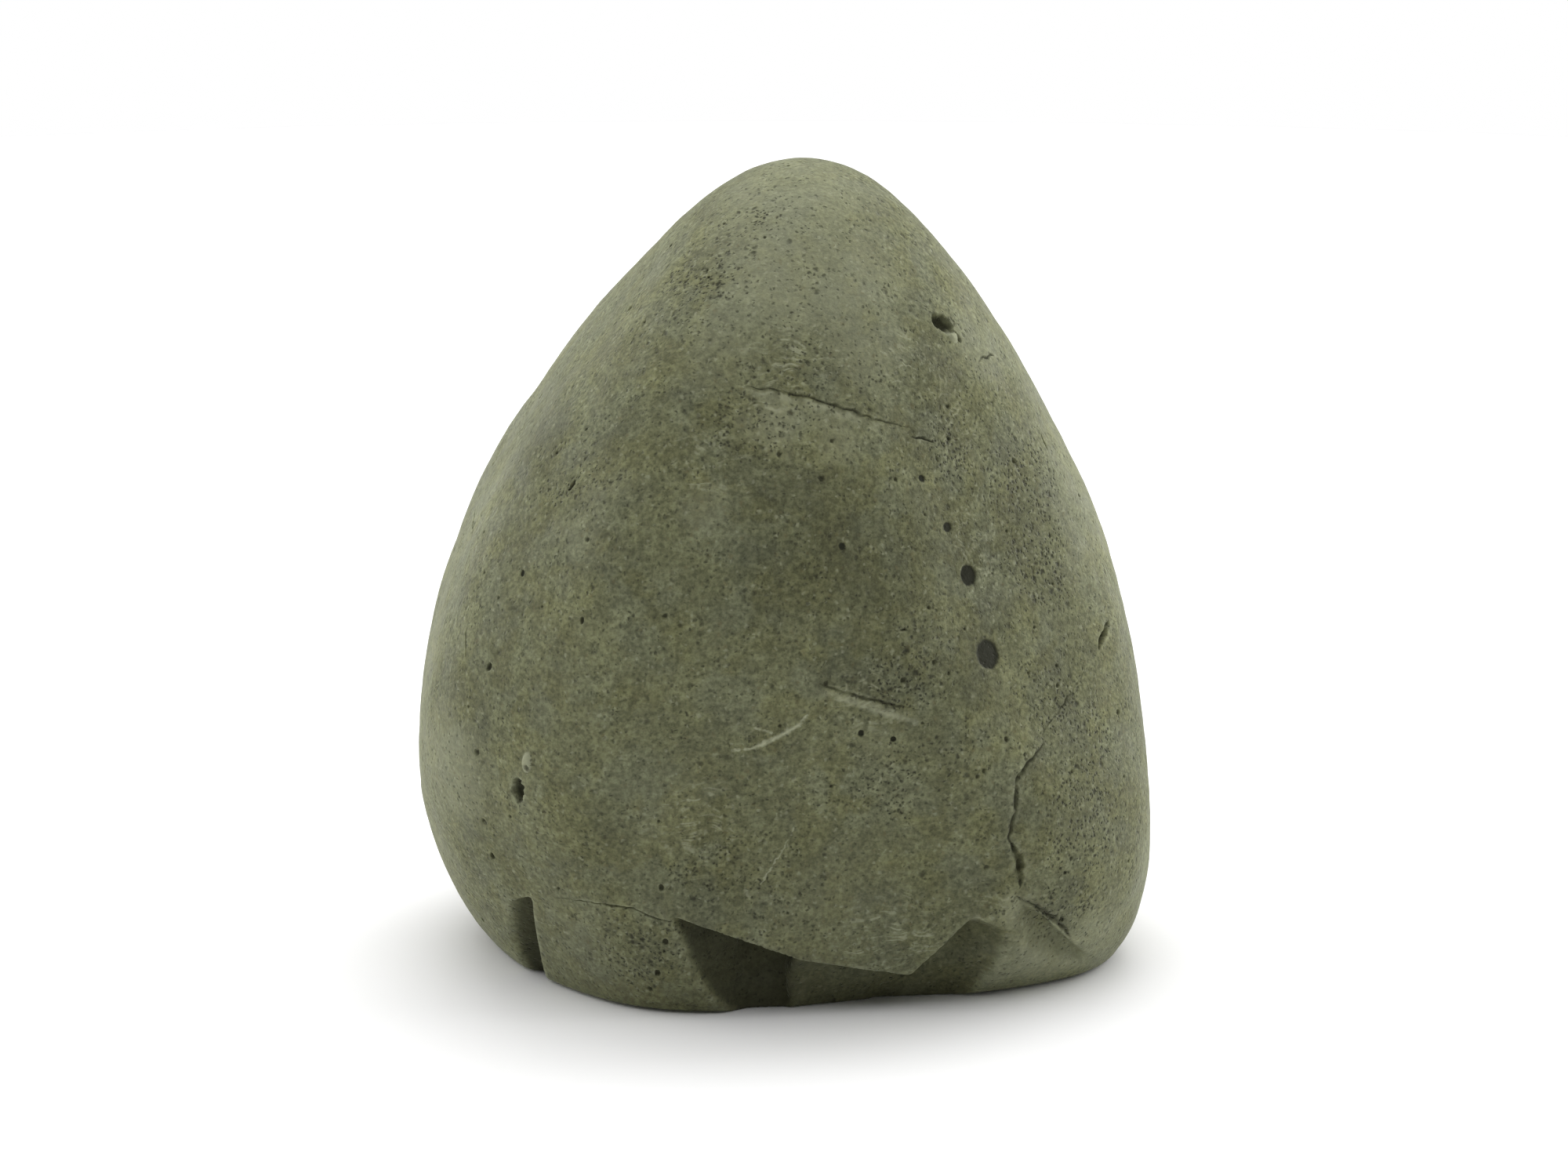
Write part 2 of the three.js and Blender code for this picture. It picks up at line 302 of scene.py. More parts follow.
def lumps(p, wavelength, octaves, seed):
    """Noise summed over octaves, each half the size and height of the last."""
    total, height = np.zeros(len(p)), 1.0
    for k in range(octaves):
        total += height * lattice_noise(p / wavelength * 2 ** k + OCTAVE_OFFSET * k, seed + k)
        height *= 0.5
    return total


# ---- the surface, before its fine relief ----

SEARCH_START = 10.0      # a radius that is inside the stone in every direction
SEARCH_MARGIN = 2        # and how far past the worn body it surely ends
SEARCH_STEPS = 16        # halvings of that range, down to about 0.002 mm

planes = np.array([plane for group in FACETS.values() for plane in group], float)
facet_normals, facet_distances = heading(planes), planes[:, 2]
chip_normals = {name: heading(chip) for name, chip in CHIPS.items()}
chip_distances = {name: np.array(chip, float)[:, 2] for name, chip in CHIPS.items()}


def facet_radius(d):
    """The radius of the faceted body, with its edges eased."""
    push = np.maximum(d @ facet_normals.T / facet_distances * HEART_HEIGHT, 0)
    return HEART_HEIGHT * np.sum(push ** EDGE_SHARPNESS, -1) ** (-1 / EDGE_SHARPNESS)


def worn_radius(d):
    """The mean of the facets' radius here and at six places round about."""
    wear = math.radians(WEAR)
    right, up = crossways(d)
    total = facet_radius(d)
    for k in range(6):
        turn = k * math.pi / 3
        across = math.cos(turn) * right + math.sin(turn) * up
        total += facet_radius(d * math.cos(wear) + across * math.sin(wear))
    return total / 7


def body_radius(d):
    """The worn radius with gentle waves, whose lengths and phases are given."""
    x, y, z = d.T
    wave = (np.sin(5 * x + 2 * z + 0.4) * np.cos(6 * y - 3 * z)
            + 0.6 * np.sin(11 * x - 4 * y + 1.7) * np.sin(9 * z + 0.6))
    return worn_radius(d) + SWELL * wave


def chip_depth(name, slopes, radius):
    """How far the point at this radius lies inside the broken-away space."""
    inside = None
    for slope, distance in zip(slopes.T, chip_distances[name]):
        beyond = slope * radius - distance
        inside = beyond if inside is None else smooth_min(inside, beyond, FLOOR_ROUNDING)
    return inside


def surface(d):
    """Radius in each direction, and how far inside each broken-away space the surface lies,
    less how far outside the old surface it lies: above 0 on a broken face."""
    body = body_radius(d)
    slopes = {name: d @ normals.T for name, normals in chip_normals.items()}

    def outside(radius):
        level = smooth_max(radius - body, -d[:, 2] * radius - HEART_HEIGHT, FOOT_ROUNDING)
        for name in CHIPS:
            level = smooth_max(level, chip_depth(name, slopes[name], radius), LIP_ROUNDING)
        return level

    low, high = np.full(len(d), SEARCH_START), body + SEARCH_MARGIN
    for _ in range(SEARCH_STEPS):
        middle = (low + high) / 2
        out = outside(middle) > 0
        high, low = np.where(out, middle, high), np.where(out, low, middle)
    radius = (low + high) / 2
    gap = {name: chip_depth(name, slopes[name], radius) - (radius - body) for name in CHIPS}
    return radius, gap


def seat(angles):
    """Points on the surface in the given directions."""
    d = np.atleast_2d(heading(angles))
    return d * surface(d)[0][:, None]


# ---- cracks, pits and the rest, laid out on the surface ----

PATH_SPACING = 0.8       # between the points of a crack's line
PATH_WANDER = 0.55       # how far the line strays from the smooth path
PATH_WANDER_SIZE = 2.2   # and over what length
CRACK_REACH = 12         # nothing of a crack shows further from it than this
CRACK_MARGIN = 2         # slack in finding the points within that reach


def rounded_path(path):
    """A smooth, slightly wandering line through the directions, as points on the surface."""
    knots = seat(path)
    ends = np.vstack([2 * knots[:1] - knots[1:2], knots, 2 * knots[-1:] - knots[-2:-1]])
    line = []
    for a, b, c, e in zip(ends, ends[1:], ends[2:], ends[3:]):
        steps = max(2, int(np.linalg.norm(c - b) / PATH_SPACING))
        t = (np.arange(steps) / steps)[:, None]
        line.append(0.5 * (2 * b + (c - a) * t + (2 * a - 5 * b + 4 * c - e) * t ** 2
                           + (3 * b - a - 3 * c + e) * t ** 3))
    line = np.vstack(line + [knots[-1:]])
    shake = np.stack([lattice_noise(line / PATH_WANDER_SIZE, seed) for seed in (5, 6, 7)], 1)
    d = unit(line + PATH_WANDER * shake)
    return d * surface(d)[0][:, None]


def along(points, line):
    """For each point: distance to a line, how far along it (0 to 1), and which side (-1 to 1).
    The distance of a point well out of reach is left very large."""
    best = np.full(len(points), 1e9)
    where, side = np.zeros(len(points)), np.zeros(len(points))
    size = np.linalg.norm(line - line.mean(0), axis=1).max()
    near = np.flatnonzero(np.linalg.norm(points - line.mean(0), axis=1)
                          < CRACK_REACH + CRACK_MARGIN + size)
    p, count = points[near], len(line) - 1
    for k, (a, b) in enumerate(zip(line, line[1:])):
        run = b - a
        t = np.clip((p - a) @ run / (run @ run), 0, 1)
        off = p - a - t[:, None] * run
        distance = np.linalg.norm(off, axis=1)
        closer = distance < best[near]
        hit = near[closer]
        best[hit] = distance[closer]
        where[hit] = (k + t[closer]) / count
        left = unit(np.cross(a, run))
        side[hit] = (off[closer] @ left) / np.maximum(distance[closer], 1e-6)
    return best, where, side


def oval(points, spot):
    """0 at the middle of an oval, 1 at its rim; large elsewhere."""
    centre = seat(spot.at)[0]
    right, up = crossways(unit(centre)[None])
    lean = math.radians(spot.lean)
    long_axis = math.sin(lean) * right[0] + math.cos(lean) * up[0]
    wide_axis = math.cos(lean) * right[0] - math.sin(lean) * up[0]
    q = points - centre
    level = np.hypot(q @ long_axis / (spot.length / 2), q @ wide_axis / (spot.breadth / 2))
    return np.where(np.linalg.norm(q, axis=1) < 2 * spot.length, level, 1e3)


def make_vesicles():
    """Centres and radii of the open gas bubbles: half of them crowd in patches."""
    draw = np.random.RandomState(VESICLE_SEED)
    d = unit(draw.normal(size=(VESICLES * 3, 3)))
    centres = d[d[:, 2] > VESICLE_LOWEST][:VESICLES // 2]
    crowd = []
    share = (VESICLES - len(centres)) / len(PITTED)
    for angles, radius, crowding in PITTED:
        middle = seat(angles)[0]
        count = round(share * crowding)
        spread = draw.normal(size=(count, 3)) * radius * VESICLE_CROWDING
        crowd.append(unit(middle + spread))
    d = np.vstack([centres] + crowd)
    small, large = VESICLE_SIZE
    size = small + (large - small) * draw.uniform(size=len(d)) ** VESICLE_SMALLNESS
    return d * surface(d)[0][:, None], size


crack_lines = [rounded_path(crack.path) for crack in CRACKS]
vesicle_centres, vesicle_radii = make_vesicles()


# ---- mesh ----

def icosahedron():
    """The twelve corners of an icosahedron as directions, and its faces."""
    golden = (1 + 5 ** 0.5) / 2
    corners = []
    for a, b in product((-1, 1), repeat=2):
        corners += [(0, a, b * golden), (a, b * golden, 0), (b * golden, 0, a)]
    corners = unit(np.array(corners, float))
    gaps = np.linalg.norm(corners[:, None] - corners[None], axis=2)
    reach = np.sort(np.unique(gaps.round(6)))[1] + 1e-3
    faces = []
    for a, b, c in combinations(range(len(corners)), 3):
        if max(gaps[a, b], gaps[b, c], gaps[a, c]) < reach:
            outward = np.cross(corners[b] - corners[a], corners[c] - corners[a])
            faces.append((a, b, c) if outward @ corners[a] > 0 else (a, c, b))
    return corners, np.array(faces)


def split(faces, index, mids, longest):
    """Each face cut up by the new points on its sides, so that neighbours still match."""
    made = mids[index]
    count = (made >= 0).sum(1)
    turned = (np.where(count == 2, np.argmin(made, 1) + 1, np.argmax(made, 1))[:, None]
              + np.arange(3)) % 3
    f = np.take_along_axis(faces, turned, 1)
    m = np.take_along_axis(made, turned, 1)
    first_longest = np.take_along_axis(longest, turned, 1)[:, 0]
    (a, b, c), (p, q, r) = f.T, m.T
    one, three = count == 1, count == 3
    two_first, two_second = (count == 2) & first_longest, (count == 2) & ~first_longest
    pieces = [f[count == 0]]
    for chosen, corners in [
        (one, [(a, p, c), (p, b, c)]),
        (two_first, [(a, p, c), (p, q, c), (p, b, q)]),
        (two_second, [(a, p, q), (a, q, c), (p, b, q)]),
        (three, [(a, p, r), (p, b, q), (r, q, c), (p, q, r)]),
    ]:
        pieces += [np.stack([k[chosen] for k in corner], 1) for corner in corners]
    return np.vstack(pieces)


def halve_long_edges(d, points, faces, target):
    """One round: directions of the new points and the new faces, or None when all fit."""
    n = len(points)
    sides = np.sort(np.stack([faces, np.roll(faces, -1, 1)], -1), -1)
    keys, index = np.unique(sides[..., 0] * n + sides[..., 1], return_inverse=True)
    index = index.reshape(-1, 3)
    a, b = keys // n, keys % n
    length = np.linalg.norm(points[a] - points[b], axis=1)
    marked = length > np.minimum(target[a], target[b])
    if not marked.any():
        return None
    longest = np.zeros(index.shape, bool)
    longest[np.arange(len(index)), np.argmax(length[index], 1)] = True
    while True:
        touched = marked[index].any(1)
        more = marked.copy()
        more[index[touched][longest[touched]]] = True
        if (more == marked).all():
            break
        marked = more
    mids = np.full(len(keys), -1)
    mids[marked] = n + np.arange(marked.sum())
    return unit(d[a[marked]] + d[b[marked]]), split(faces, index, mids, longest)


def edge_target(points, gaps):
    """The longest mesh edge allowed at each point."""
    target = np.full(len(points), COARSE_EDGE)
    for gap in gaps.values():
        target = np.minimum(target, CHIP_EDGE + GRADING * np.maximum(-gap, 0))
        target = np.minimum(target, LIP_EDGE + GRADING * np.maximum(np.abs(gap) - LIP_BAND, 0))
    for crack, line in zip(CRACKS, crack_lines):
        past = np.maximum(along(points, line)[0] - crack.width / 2, 0)
        fine = min(FINE_EDGE, CRACK_EDGE * crack.width)
        target = np.minimum(target, fine + GRADING * past)
    for spot in PITS + PEBBLES + INLAYS:
        past = np.maximum(oval(points, spot) - 1, 0) * spot.breadth / 2
        fine = min(FINE_EDGE, SPOT_EDGE * spot.breadth)
        target = np.minimum(target, fine + GRADING * past)
    for centre, radius in zip(vesicle_centres, vesicle_radii):
        near = np.flatnonzero(np.abs(points - centre).max(1) < radius + COARSE_EDGE / GRADING)
        past = np.maximum(np.linalg.norm(points[near] - centre, axis=1) - radius, 0)
        target[near] = np.minimum(target[near], VESICLE_EDGE * radius + GRADING * past)
    return target


def base_mesh():
    """Points, faces and chip gaps of a mesh that is fine where the form needs it."""
    d, faces = icosahedron()
    for _ in range(START_ROUNDS):
        d_new, faces = halve_long_edges(d, d * START_RADIUS, faces, np.zeros(len(d)))
        d = np.vstack([d, d_new])
    radius, gaps = surface(d)
    points = d * radius[:, None]
    target = edge_target(points, gaps)
    for _ in range(REFINE_ROUNDS):
        result = halve_long_edges(d, points, faces, target)
        if result is None:
            break
        d_new, faces = result
        radius, gap = surface(d_new)
        new = d_new * radius[:, None]
        d, points = np.vstack([d, d_new]), np.vstack([points, new])
        gaps = {name: np.append(gaps[name], gap[name]) for name in gaps}
        target = np.append(target, edge_target(new, gap))
    return points, faces, gaps


def vertex_normals(points, faces):
    a, b, c = points[faces].transpose(1, 0, 2)
    across = np.cross(b - a, c - a)
    normals = np.zeros_like(points)
    for k in range(3):
        for axis in range(3):
            normals[:, axis] += np.bincount(faces[:, k], across[:, axis], len(points))
    return unit(normals)


# ---- fine relief ----

# Values kept at each point of the mesh, for the material: 0 to 1, but for the stains and painted
# light, which are below 0 where the stone is painted darker, and the worn lip of a crack, which
# may pass 1. The grime holds painted shade as well as dirt, and the cavity holds painted shade.
MASKS = ("cavity_shade", "broken", "grime_and_shade", "worn", "grain", "inlay", "pitted", "scuffed", "stain_and_light")

SWELLS = ((17.0, 0.30, 71), (5.2, 0.10, 81))   # lumps all over: size, height and seed
STANDING = (0.3, 2.5)       # heights above the foot where the relief starts and is full

CRACK_RAGGED = 0.7          # how much a crack's width varies
CRACK_RAGGED_SIZE = 2.4     # and over what length
CRACK_CLOSING_SIZE = 4.5    # the length over which a crack all but closes and opens
CRACK_CLOSED = 0.25         # how much of it stays where it closes
# How dark a crack's inside is painted, as painted shade.
CRACK_DARK = 0.9
STEP_WIDTH = 0.4            # how sharply the ground drops at a crack with a step
STEP_FADE = 5               # how far from the crack the step evens out
BRINK_WEAR = 0.55           # how worn the edges of a crack are
LIP_FADE = 0.45             # how much of a pale lip is lost by the crack's far end
LEDGE_SHADOW_SPREAD = 2.0           # how far the painted shadow spreads from a crack

SPOT_RAGGED = 0.25          # how far a pit's rim strays from an oval, and over what length
SPOT_RAGGED_SIZE = 1.3
SPOT_WEAR = 0.6             # how worn the rim of a pit is
VESICLE_RAGGED = 0.35       # the same for an open bubble: this length is a share of its radius
VESICLE_RAGGED_SIZE = 0.9
VESICLE_DEPTH = 0.75        # and so is this
# How dark an open bubble's inside is painted, as painted shade.
VESICLE_DARK = 0.85


def raise_mask(mask, values, near=slice(None)):
    mask[near] = np.maximum(mask[near], values)


def fades(low, high, x):
    """1 below the low value, 0 above the high one."""
    return 1 - smoothstep(low, high, x)


def crack_cut(crack, number, run, side, distance, ends):
    """How far each point lies inside the crack, 0 to 1, and its distance in half widths."""
    own = np.full(len(run), number)   # keeps the cracks from looking alike
    ragged = np.stack([run / CRACK_RAGGED_SIZE, own * 3.7, side], 1)
    ragged = 1 + CRACK_RAGGED * lattice_noise(ragged, 21)
    half = np.maximum(crack.width / 2 * ends * ragged, 0.02)
    closing = np.stack([run / CRACK_CLOSING_SIZE, own * 2.3, run / CRACK_CLOSING_SIZE], 1)
    open_share = smoothstep(-0.55, 0.15, lattice_noise(closing, 23))
    open_share = CRACK_CLOSED + (1 - CRACK_CLOSED) * open_share
    return fades(0.15, 1.1, distance / half) * open_share, distance / half


def crack_relief(points, masks):
    lift = np.zeros(len(points))
    for number, (crack, line) in enumerate(zip(CRACKS, crack_lines)):
        distance, where, side = along(points, line)
        near = np.flatnonzero(distance < CRACK_REACH)
        distance, where, side = distance[near], where[near], side[near]
        ends = np.clip(4 * where * (1 - where), 0, 1) ** 0.5
        cut, widths = crack_cut(crack, number, where * len(line), side, distance, ends)
        fade = np.exp(-(distance / STEP_FADE) ** 2) * ends
        ledge = crack.step / 2 * np.clip(side * distance / STEP_WIDTH, -1, 1) * fade
        lift[near] += ledge - crack.depth * ends * cut
        raise_mask(masks["cavity_shade"], CRACK_DARK * cut, near)
        brink = smoothstep(0.9, 1.3, widths) * fades(1.3, 2.6, widths)
        raise_mask(masks["worn"], BRINK_WEAR * brink * ends, near)
        beyond = distance - crack.width / 2
        band = smoothstep(0, 0.5, beyond) * fades(0.8, 3.2, beyond) * (side < 0)
        band *= ends * (1 - LIP_FADE * where)
        raise_mask(masks["worn"], crack.lip * band, near)
        # A painted shadow on the crack's left side.
        halo = np.exp(-(distance / LEDGE_SHADOW_SPREAD) ** 2) * (side > 0) * ends
        raise_mask(masks["grime_and_shade"], crack.soil * halo, near)
    return lift


def spot_relief(points, masks):
    """Pits, pebbles and filled bubbles. A level is 0 at a spot's middle and 1 at its rim."""
    lift = np.zeros(len(points))
    ragged = 1 + SPOT_RAGGED * lattice_noise(points / SPOT_RAGGED_SIZE, 41)
    for pit in PITS:
        level = oval(points, pit) * ragged
        lift -= pit.depth * np.sqrt(np.clip(1 - level ** 2, 0, 1))
        rim = (level > 1) * fades(1.0, 1.45, level)
        # A pit's inside is painted dark: painted shade.
        raise_mask(masks["cavity_shade"], fades(0.7, 1.05, level))
        raise_mask(masks["worn"], SPOT_WEAR * rim)
    for pebble in PEBBLES:
        level = oval(points, pebble)
        lift += pebble.depth * fades(0.5, 1.15, level)
        raise_mask(masks["grain"], fades(0.85, 1.1, level))
    for inlay in INLAYS:
        level = oval(points, inlay) * (0.6 + 0.4 * ragged)
        lift -= inlay.depth * fades(0.8, 1.05, level)
        raise_mask(masks["inlay"], fades(0.86, 1.04, level))
    return lift


def vesicle_relief(points, masks):
    lift = np.zeros(len(points))
    for centre, radius in zip(vesicle_centres, vesicle_radii):
        near = np.flatnonzero(np.abs(points - centre).max(1) < 1.5 * radius)
        level = np.linalg.norm(points[near] - centre, axis=1) / radius
        lumps_here = lattice_noise(points[near] / (VESICLE_RAGGED_SIZE * radius), 47)
        level *= 1 + VESICLE_RAGGED * lumps_here
        lift[near] -= VESICLE_DEPTH * radius * np.sqrt(np.clip(1 - level ** 2, 0, 1))
        raise_mask(masks["cavity_shade"], VESICLE_DARK * fades(0.55, 1.1, level), near)
    return lift


RUBBLE_SIZE = 8.0           # lumps on a broken face, and their height
RUBBLE_HEIGHT = 0.65
SHELL_SIZE = [9, 9, 5]      # shallow shell-shaped hollows on it, and their depth
SHELL_DEPTH = 0.35
LIP_WEAR = 0.4              # how worn the lip round a broken face is
LIP_WEAR_WIDTH = 1.4        # and how wide
PATCH_WANDER = 3.5          # how far the outline of a patch strays, stains and painted light among them
PATCH_WANDER_SIZE = 9.0     # and over what length
PATCH_FADE = (0.35, 1.25)   # where a patch starts and ends to fade, as shares of its radius


def chip_relief(points, gaps, masks):
    """Rough broken faces, with shallow shell-shaped steps, and worn lips round them."""
    lift = np.zeros(len(points))
    rough = RUBBLE_HEIGHT * lumps(points, RUBBLE_SIZE, 4, 61)
    shells = SHELL_DEPTH * np.abs(lattice_noise(points / SHELL_SIZE, 67))
    for name, gap in gaps.items():
        lift += smoothstep(-0.2, 2.0, gap) * (rough - shells)
        raise_mask(masks["broken"], smoothstep(-0.3, 1.6, gap))
        # A broken face is darkened with dirt and with painted shade in its recess.
        raise_mask(masks["grime_and_shade"], CHIP_GRIME_AND_SHADE[name] * smoothstep(0.1, 2.2, gap))
        raise_mask(masks["worn"], LIP_WEAR * np.exp(-(gap / LIP_WEAR_WIDTH) ** 2))
    return lift


def patches(points, places):
    """How strongly each point lies in any of several ragged round patches: the strongest of
    those above 0, and of those below."""
    shake = np.stack([lumps(points, PATCH_WANDER_SIZE, 3, seed) for seed in (101, 111, 121)], 1)
    most, least = np.zeros(len(points)), np.zeros(len(points))
    for angles, radius, value in places:
        gap = np.linalg.norm(points + PATCH_WANDER * shake - seat(angles), axis=1)
        level = value * fades(*PATCH_FADE, gap / radius)
        most, least = np.maximum(most, level), np.minimum(least, level)
    return most + least


def relief(points, gaps):
    """How far each point is lifted off the plain surface, and the masks."""
    masks = {name: np.zeros(len(points)) for name in MASKS}
    masks["pitted"] = patches(points, PITTED)
    masks["scuffed"] = patches(points, SCUFFED)
    masks["stain_and_light"] = patches(points, STAINS_AND_PAINTED_LIGHT)
    lift = sum(height * lumps(points, size, 2, seed) for size, height, seed in SWELLS)
    lift += chip_relief(points, gaps, masks)
    # The deepest corners of the broken faces get dirt and painted shade.
    raise_mask(masks["grime_and_shade"], patches(points, SOILED_AND_SHADED) * masks["broken"])
    lift += crack_relief(points, masks)
    lift += spot_relief(points, masks)
    lift += vesicle_relief(points, masks)
    return lift * smoothstep(*STANDING, points[:, 2] + HEART_HEIGHT), masks


def stone_object(material):
    points, faces, gaps = base_mesh()
    normals = vertex_normals(points, faces)
    lift, masks = relief(points, gaps)
    points = points + normals * lift[:, None]
    points[:, 2] = np.maximum(points[:, 2], -HEART_HEIGHT)
    low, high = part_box("stone")
    middle = (points.min(0) + points.max(0)) / 2
    shift = np.array([(low.x + high.x) / 2 / MM - middle[0], (low.y + high.y) / 2 / MM - middle[1],
                      low.z / MM + HEART_HEIGHT])
    mesh = bpy.data.meshes.new("stone_mesh")
    mesh.from_pydata(((points + shift) * MM).tolist(), [], faces.tolist())
    for name, values in masks.items():
        attribute = mesh.attributes.new(name, "FLOAT", "POINT")
        attribute.data.foreach_set("value", values.astype(np.float32))
    mesh.shade_smooth()
    mesh.materials.append(material)
    stone = bpy.data.objects.new("worn_stone", mesh)
    bpy.context.collection.objects.link(stone)
    print("stone:", len(points), "points", len(faces), "triangles")
    return stone, shift


# ---- node helpers ----

class Nodes:
    """Short ways to add and join a material's nodes."""

    def __init__(self, tree):
        self.tree = tree

    def put(self, socket, value):
        if isinstance(value, bpy.types.NodeSocket):
            self.tree.links.new(value, socket)
        else:
            socket.default_value = value

    def add(self, kind, inputs, **settings):
        node = self.tree.nodes.new("ShaderNode" + kind)
        for name, value in settings.items():
            setattr(node, name, value)
        for name, value in inputs.items():
            self.put(node.inputs[name], value)
        return node

    def math(self, operation, a, b=0.0, clamp=False):
        return self.add("Math", {0: a, 1: b}, operation=operation, use_clamp=clamp).outputs[0]

    def times(self, a, b):
        return self.math("MULTIPLY", a, b)

    def plus(self, a, b, clamp=False):
        return self.math("ADD", a, b, clamp)

    def vector(self, operation, a, b, output=0):
        return self.add("VectorMath", {0: a, 1: b}, operation=operation).outputs[output]

    def step(self, value, low, high, bottom=0.0, top=1.0):
        """Goes smoothly from bottom to top as the value goes from low to high."""
        node = self.add("MapRange", {"Value": value, "From Min": low, "From Max": high,
                                     "To Min": bottom, "To Max": top},
                        interpolation_type="SMOOTHSTEP")
        return node.outputs["Result"]

    def noise(self, position, size, detail, roughness=0.5):
        """0 to 1, with lumps of this size in millimetres."""
        node = self.add("TexNoise", {"Vector": position, "Scale": 1 / size, "Detail": detail,
                                     "Roughness": roughness})
        return node.outputs[0]

    def mix(self, amount, a, b, blend="MIX"):
        node = self.add("Mix", {0: amount}, data_type="RGBA", blend_type=blend)
        self.put(node.inputs[6], a)
        self.put(node.inputs[7], b)
        return node.outputs[2]

    def cells(self, position, spacing, radius):
        """A spot in each cell of a random net, up to about this radius, and a number from 0 to 1
        for each cell."""
        node = self.add("TexVoronoi", {"Vector": position, "Scale": 1 / spacing})
        parts = self.add("SeparateColor", {0: node.outputs["Color"]})
        # Between 0.6 and 1.4 times the radius.
        size = self.times(self.plus(parts.outputs[1], 0.7), radius / spacing / 1.2)
        inner = self.times(size, 0.15)
        return self.step(node.outputs["Distance"], inner, size, 1.0, 0.0), parts.outputs[0]

    def specks(self, position, spacing, radius, share):
        """Spots in this share of the cells of a random net."""
        spot, number = self.cells(position, spacing, radius)
        return self.times(spot, self.math("LESS_THAN", number, share))

    def scaled(self, vector, factor):
        return self.add("VectorMath", {0: vector, "Scale": factor}, operation="SCALE").outputs[0]

    def attribute(self, name):
        return self.add("Attribute", {}, attribute_name=name).outputs["Fac"]


def gray(value):
    return (value, value, value, 1.0)


# ---- the stone's material ----

OLIVE = (0.110, 0.115, 0.060, 1)       # the main colour
BLUE_GREY = (0.112, 0.119, 0.068, 1)   # cooler patches
BROWN = (0.109, 0.112, 0.054, 1)       # warmer patches
RUST = (0.110, 0.090, 0.040, 1)        # small iron specks
PALE = (0.340, 0.355, 0.240, 1)        # scratches, crystals, bruised edges, and the painted highlights of the pale stains
DIRT_AND_SHADE = (0.022, 0.022, 0.012, 1)        # dirt in broken places, and painted shade in their recesses and beside cracks
HOLLOW_SHADE = (0.008, 0.008, 0.005, 1)      # painted shade inside cracks, pits, pinholes, pores and vesicles
INLAY = (0.0045, 0.0052, 0.0015, 1)    # the filled bubbles

# Cooler and warmer patches: their size in mm, and where in their noise they start and are full.
COOL_SIZE, COOL_BOUNDS = 15, (0.44, 0.60)
WARM_SIZE, WARM_BOUNDS = 11, (0.46, 0.62)

# Lighter and darker clouds: their size in mm and how far they go from the middle tone.
CLOUDS = ((26, 0.11), (8, 0.13), (2.6, 0.16))

GRIT_SIZE, GRIT_ROUGHNESS = 1.0, 0.65   # sand-like mottling
GRIT_SHADE_TONE = (0.66, 1.34)                # and how far it goes from the middle tone, as painted shade in its low places and painted highlight on its peaks, where the bump lowers and raises it

# Spots in the material: the spacing of their net and their radius, in mm.
PINHOLES = (1.0, 0.50)
PORES = (2.1, 0.85)
CRYSTALS = (1.3, 0.62)         # the rust specks share their net
CROWDED_CLOUD = 0.5            # how much the clouds add to the crowding of the spots
PINHOLE_SHARE = (0.24, 0.78)   # share of the cells that have a pinhole: where few, where many
PORE_SHARE = 0.40              # pores and crystals for each pinhole
CRYSTAL_SHARE = 0.60
RUST_ABOVE = 0.88              # the cells whose number is above this are rusty
HOLE_DARKNESS = (0.54, 0.88)   # how dark the painted shade of the pinholes and pores is: where few, where many

# Pale strokes: their length and breadth, where in the noise they start and are full, and how
# many there are outside the scuffed patches.
STROKE_LENGTH, STROKE_BREADTH = 8.0, 0.8
STROKE_BOUNDS = (0.47, 0.70)
STROKE_SWING = 9.0             # how far they bend with the clouds
STROKE_TURN = (0.55, 0.85)     # where the side's strokes take over from the front's
STRAY_STROKES = 0.14
MARK_WANDER, MARK_WANDER_SIZE = 1.3, 1.25   # how spots and scratches are bent

# The material's bumps: how high each kind stands, in mm.
GRIT_BUMP, RUBBLE_BUMP, HOLE_BUMP = 0.30, 0.35, 0.40
PLAIN_RUBBLE = 0.35            # the rubble's share where nothing broke
BUMP_STRENGTH = 0.8

MATT = (0.70, 0.86)            # the roughness, from cloud to cloud
HOLLOW_MATT = 0.12             # and what broken and hollow places add

# Single scratches and pale marks: two directions, width in mm and strength.
SCRATCHES = [
    ([-8.9, -6.5], [-4.6, -6.0], 1.1, 0.75), ([-4.6, -6.0], [0.3, -3.8], 1.8, 0.9),
    ([0.3, -3.8], [4.1, -1.5], 1.8, 0.95), ([4.1, -1.5], [5.7, 0.7], 1.3, 0.85),
    ([-4.5, -1.9], [-1.3, -3.0], 1.1, 0.6),
    ([3.7, -23], [0.3, -28.8], 0.6, 0.5), ([0.3, -28.8], [-3.7, -33.7], 0.8, 0.7),
    ([43.7, 60.7], [46.5, 56.4], 0.5, 0.6), ([36.9, 58.1], [40.5, 57.1], 0.6, 0.6),
    ([-53.5, -38.2], [-48.3, -38.6], 0.4, 0.5), ([-35.4, -38], [-32.5, -38.9], 0.4, 0.5),
    ([11.9, 3.9], [19, 1.0], 2.0, 0.35), ([19, 1.0], [26.7, -1.5], 2.4, 0.35),
    ([-46.2, -39.5], [-45.4, -39.5], 1.5, 0.6), ([-7.1, -34.5], [-6.4, -35.5], 1.6, 0.35),
    ([-150, 12], [-141, 8], 0.5, 0.7), ([172, 40], [163, 42], 0.45, 0.6),
    ([128, -20], [133, -26], 0.5, 0.6), ([-108, 34], [-100, 37], 0.5, 0.6),
    ([96, 6], [103, 3], 0.4, 0.5),
]


